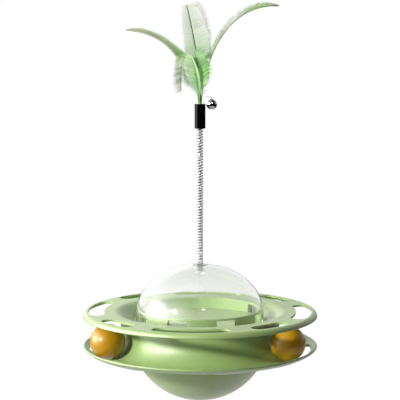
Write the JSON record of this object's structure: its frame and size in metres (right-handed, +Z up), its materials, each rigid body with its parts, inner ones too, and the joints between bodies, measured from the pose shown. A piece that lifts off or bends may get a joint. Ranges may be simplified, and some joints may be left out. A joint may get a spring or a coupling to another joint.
{
  "type": "cat treat tumbler",
  "caption": "Saucer-shaped cat treat tumbler with a weighted round bowl, rolling balls between slotted brims, a clear treat dome and a feather wand on a spring.",
  "frame": {"origin": "centre of the small flat under the bowl, on which the toy stands", "axes": "+Z up along the axis of the bowl, dome and spring; -Y is the front seen in the picture; +X is the side of the bell"},
  "size_m": [0.23, 0.23, 0.3883],
  "materials": {
    "green_plastic": "satin moulded plastic",
    "clear_plastic": "clear polished plastic",
    "gold_plastic": "satin golden-yellow plastic",
    "steel": "zinc-plated",
    "spring_wire": "bright drawn wire",
    "black_sleeve": "satin black tube",
    "plug_plastic": "set glue and thread",
    "feather_green": "dyed feather",
    "feather_pale": "pale feather",
    "bell_chrome": "polished"
  },
  "bodies": {
    "base": {"base_bowl": "green_plastic", "counterweight": "steel", "weight_screws": "steel", "lower_track": "green_plastic", "bowl_screws": "steel", "upper_tray": "green_plastic", "treat_cup": "green_plastic"},
    "ball_left": {"ball_left": "gold_plastic"},
    "ball_right": {"ball_right": "gold_plastic"},
    "dome": {"dome_cover": "clear_plastic"},
    "wand_foot": {"spring": "spring_wire"},
    "wand_head": {"sleeve": "black_sleeve", "quill_plug": "plug_plastic", "bell_hook": "spring_wire", "feather_left": "feather_green", "feather_right": "feather_green", "feather_back": "feather_pale", "feather_bent": "feather_pale", "feather_front_left": "feather_green", "feather_front_right": "feather_green"},
    "bell": {"bell_shell": "bell_chrome", "bell_pellet": "steel"}
  },
  "joints": [
    {"name": "ball_left_orbit", "type": "hinge", "parent": "base", "child": "ball_left", "pos_m": [0, 0, 0.06575], "axis": [0, 0, 1], "range_deg": [-108, 49]},
    {"name": "ball_right_orbit", "type": "hinge", "parent": "base", "child": "ball_right", "pos_m": [0, 0, 0.06575], "axis": [0, 0, 1], "range_deg": [-49, 108]},
    {"name": "dome_lift", "type": "slide", "parent": "base", "child": "dome", "axis": [0, 0, 1], "range_m": [0, 0.06]},
    {"name": "wand_pull", "type": "slide", "parent": "dome", "child": "wand_foot", "axis": [0, 0, 1], "range_m": [0, 0.02]},
    {"name": "wand_bend", "type": "hinge", "parent": "wand_foot", "child": "wand_head", "pos_m": [0, 0, 0.2], "axis": [0, 1, 0], "range_deg": [-60, 60], "stiffness_Nm_per_rad": 0.02, "deforming": ["spring"]},
    {"name": "bell_swing", "type": "hinge", "parent": "wand_head", "child": "bell", "pos_m": [0.0113, 0, 0.2965], "axis": [1, 0, 0], "range_deg": [-70, 70]}
  ]
}
